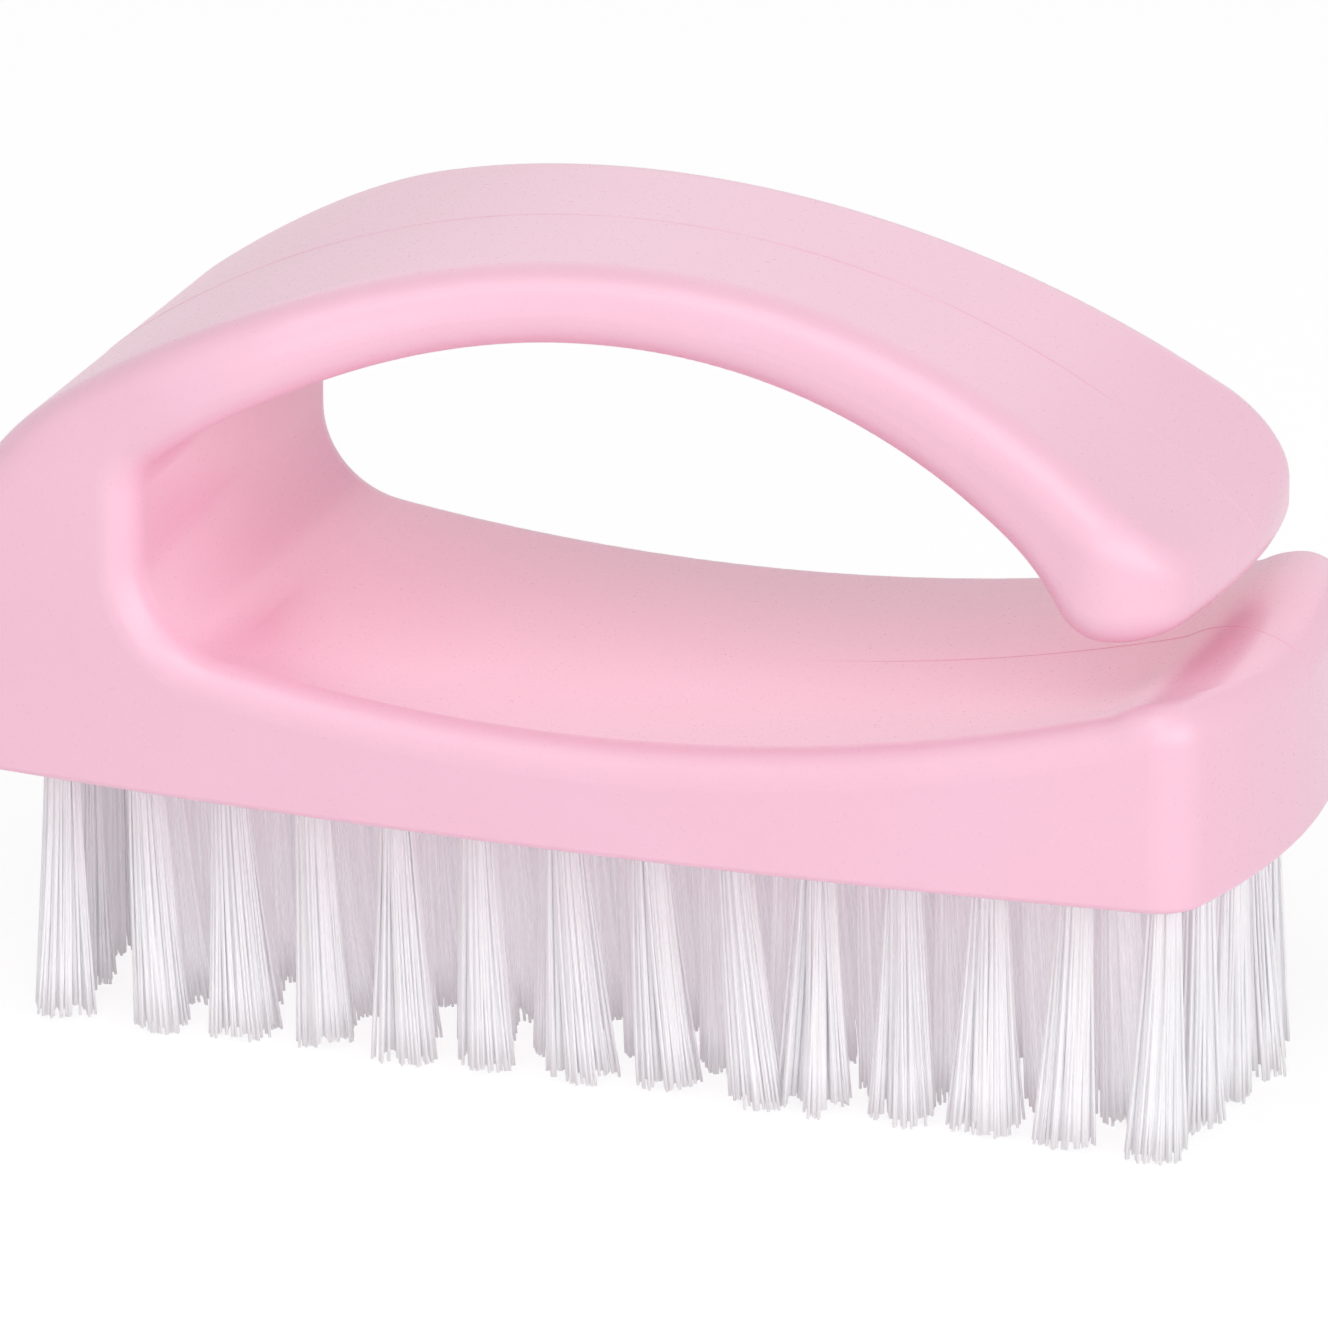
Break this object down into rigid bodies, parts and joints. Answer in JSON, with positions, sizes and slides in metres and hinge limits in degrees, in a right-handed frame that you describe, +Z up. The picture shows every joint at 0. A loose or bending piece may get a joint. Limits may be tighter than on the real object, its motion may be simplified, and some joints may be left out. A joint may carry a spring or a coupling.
{
  "type": "nail brush",
  "caption": "Hand nail brush: a moulded plastic block with a dished top and an open loop handle, and tufts of nylon bristles under it.",
  "frame": {"origin": "on the plane of the trimmed bristle tips, under the middle of the block", "axes": "+X along the brush from the closed heel to the open tip of the handle, +Y across it to the back, +Z up through the handle"},
  "size_m": [0.096, 0.042, 0.0603],
  "materials": {
    "body_plastic": "satin moulded polypropylene, pale pink",
    "bristle_nylon": "white nylon filament",
    "anchor_wire": "plain flat wire"
  },
  "bodies": {
    "root": {"anchors_row_1": "anchor_wire", "anchors_row_2": "anchor_wire", "anchors_row_3": "anchor_wire", "anchors_row_4": "anchor_wire", "anchors_row_5": "anchor_wire", "handle_body": "body_plastic", "tuft_back_01": "bristle_nylon", "tuft_back_02": "bristle_nylon", "tuft_back_03": "bristle_nylon", "tuft_back_04": "bristle_nylon", "tuft_back_05": "bristle_nylon", "tuft_back_06": "bristle_nylon", "tuft_back_07": "bristle_nylon", "tuft_back_08": "bristle_nylon", "tuft_back_09": "bristle_nylon", "tuft_back_10": "bristle_nylon", "tuft_back_11": "bristle_nylon", "tuft_back_12": "bristle_nylon", "tuft_back_13": "bristle_nylon", "tuft_back_14": "bristle_nylon", "tuft_front_01": "bristle_nylon", "tuft_front_02": "bristle_nylon", "tuft_front_03": "bristle_nylon", "tuft_front_04": "bristle_nylon", "tuft_front_05": "bristle_nylon", "tuft_front_06": "bristle_nylon", "tuft_front_07": "bristle_nylon", "tuft_front_08": "bristle_nylon", "tuft_front_09": "bristle_nylon", "tuft_front_10": "bristle_nylon", "tuft_front_11": "bristle_nylon", "tuft_front_12": "bristle_nylon", "tuft_front_13": "bristle_nylon", "tuft_front_14": "bristle_nylon", "tuft_heel_end_1": "bristle_nylon", "tuft_heel_end_2": "bristle_nylon", "tuft_heel_end_3": "bristle_nylon", "tuft_open_end_1": "bristle_nylon", "tuft_open_end_2": "bristle_nylon", "tuft_open_end_3": "bristle_nylon", "tufts_inner_row_1": "bristle_nylon", "tufts_inner_row_2": "bristle_nylon", "tufts_inner_row_3": "bristle_nylon"}
  },
  "joints": []
}
